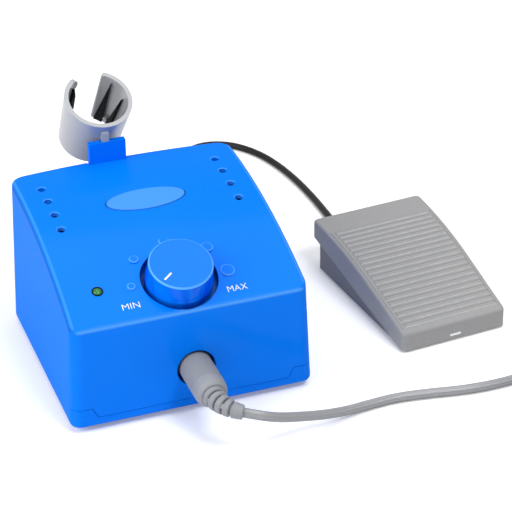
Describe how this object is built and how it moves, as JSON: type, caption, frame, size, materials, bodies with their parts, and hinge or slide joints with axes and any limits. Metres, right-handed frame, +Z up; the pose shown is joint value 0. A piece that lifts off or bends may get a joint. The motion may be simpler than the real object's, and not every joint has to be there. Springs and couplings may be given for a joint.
{
  "type": "dental lab micromotor",
  "caption": "Blue drive box with a speed knob, a handpiece cradle, a plugged-in motor lead and a grey foot pedal on a black lead.",
  "frame": {"origin": "on the floor, under the middle of the box and pedal taken together, leads left out", "axes": "+X to the right from box to pedal, +Y to the box's rear, +Z up"},
  "size_m": [0.3468, 0.4043, 0.1308],
  "materials": {
    "blue_shell": "satin moulded plastic",
    "blue_badge": "smooth blank plate",
    "grey_cradle": "satin moulded plastic",
    "grey_plug": "matt moulded plastic",
    "grey_cord": "matt sheath",
    "black_cord": "satin sheath",
    "grey_pedal": "fine matt moulding",
    "dark_pedal": "fine matt moulding",
    "black_rubber": "matt",
    "black_plastic": "satin",
    "green_lamp": "clear tinted",
    "steel": "zinc plated",
    "spring_steel": "bright wire",
    "brass": "plain",
    "aluminium": "extruded",
    "core_steel": "varnished laminations",
    "winding_tape": "yellow tape",
    "board_green": "solder mask",
    "can_blue": "sleeved can",
    "fuse_glass": "clear tube"
  },
  "bodies": {
    "housing": {"base_pan": "blue_shell", "board_screws": "steel", "board_standoffs": "brass", "bracket_screws": "steel", "bridge_rectifier": "black_plastic", "capacitors": "can_blue", "circuit_board": "board_green", "cover_screws": "steel", "cradle_bracket": "blue_shell", "fuse_holder": "black_plastic", "heat_sink": "aluminium", "inlet_pins": "brass", "led_retainer": "black_plastic", "mains_inlet": "black_plastic", "micro_switch": "black_plastic", "motor_connector": "grey_plug", "motor_cord": "grey_cord", "motor_cord_coil": "grey_cord", "motor_socket": "black_plastic", "name_badge": "blue_badge", "panel_screws": "steel", "pedal_base": "dark_pedal", "pedal_cord": "black_cord", "pedal_cord_coil": "black_cord", "pedal_cord_gland": "black_rubber", "pedal_feet": "black_rubber", "pedal_hinge_pin": "steel", "pedal_strain_relief": "black_rubber", "plug_body": "grey_plug", "plug_pins": "brass", "plug_strain_relief": "grey_plug", "pot_body": "steel", "pot_nut": "steel", "power_switch_frame": "black_plastic", "power_transistor": "black_plastic", "rear_panel": "black_plastic", "return_spring": "spring_steel", "rubber_feet": "black_rubber", "socket_contacts": "brass", "socket_nut": "steel", "status_led": "green_lamp", "terminal_block": "board_green", "top_cover": "blue_shell", "transformer_bobbin": "black_plastic", "transformer_clamp": "steel", "transformer_core": "core_steel", "transformer_screws": "steel", "transformer_winding": "winding_tape"},
    "knob": {"speed_knob": "blue_shell", "pot_shaft": "steel"},
    "foot_plate": {"treadle": "grey_pedal"},
    "plunger": {"switch_plunger": "black_plastic"},
    "rocker": {"power_rocker": "black_plastic"},
    "fuse_carrier": {"fuse_cap": "black_plastic", "fuse_link": "fuse_glass"},
    "cradle": {"handpiece_cradle": "grey_cradle", "cradle_grips": "black_rubber"}
  },
  "joints": [
    {"name": "knob_turn", "type": "hinge", "parent": "housing", "child": "knob", "pos_m": [-0.06263, -0.06848, 0.07287], "axis": [0, -0.3501, 0.9367], "range_deg": [-246, 0]},
    {"name": "treadle_press", "type": "hinge", "parent": "housing", "child": "foot_plate", "pos_m": [0.09724, -0.06531, 0.0067], "axis": [-0.9963, -0.0854, 0], "range_deg": [0, 4.5], "stiffness_Nm_per_rad": 2, "springref_deg": -9.74, "deforming": ["return_spring"]},
    {"name": "switch_push", "type": "slide", "parent": "housing", "child": "plunger", "axis": [0, 0, -1], "range_m": [0, 0.00236]},
    {"name": "rocker_tilt", "type": "hinge", "parent": "housing", "child": "rocker", "pos_m": [-0.06943, 0.03672, 0.027], "axis": [-1, 0, 0], "range_deg": [0, 20]},
    {"name": "fuse_turn", "type": "hinge", "parent": "housing", "child": "fuse_carrier", "pos_m": [-0.04793, 0.04177, 0.029], "axis": [0, 1, 0], "range_deg": [0, 60]},
    {"name": "cradle_slide", "type": "slide", "parent": "housing", "child": "cradle", "axis": [0, 0, 1], "range_m": [0, 0.012]}
  ],
  "couplings": [
    {"joint": "switch_push", "follows": "treadle_press", "m_per_rad": 0.03}
  ]
}
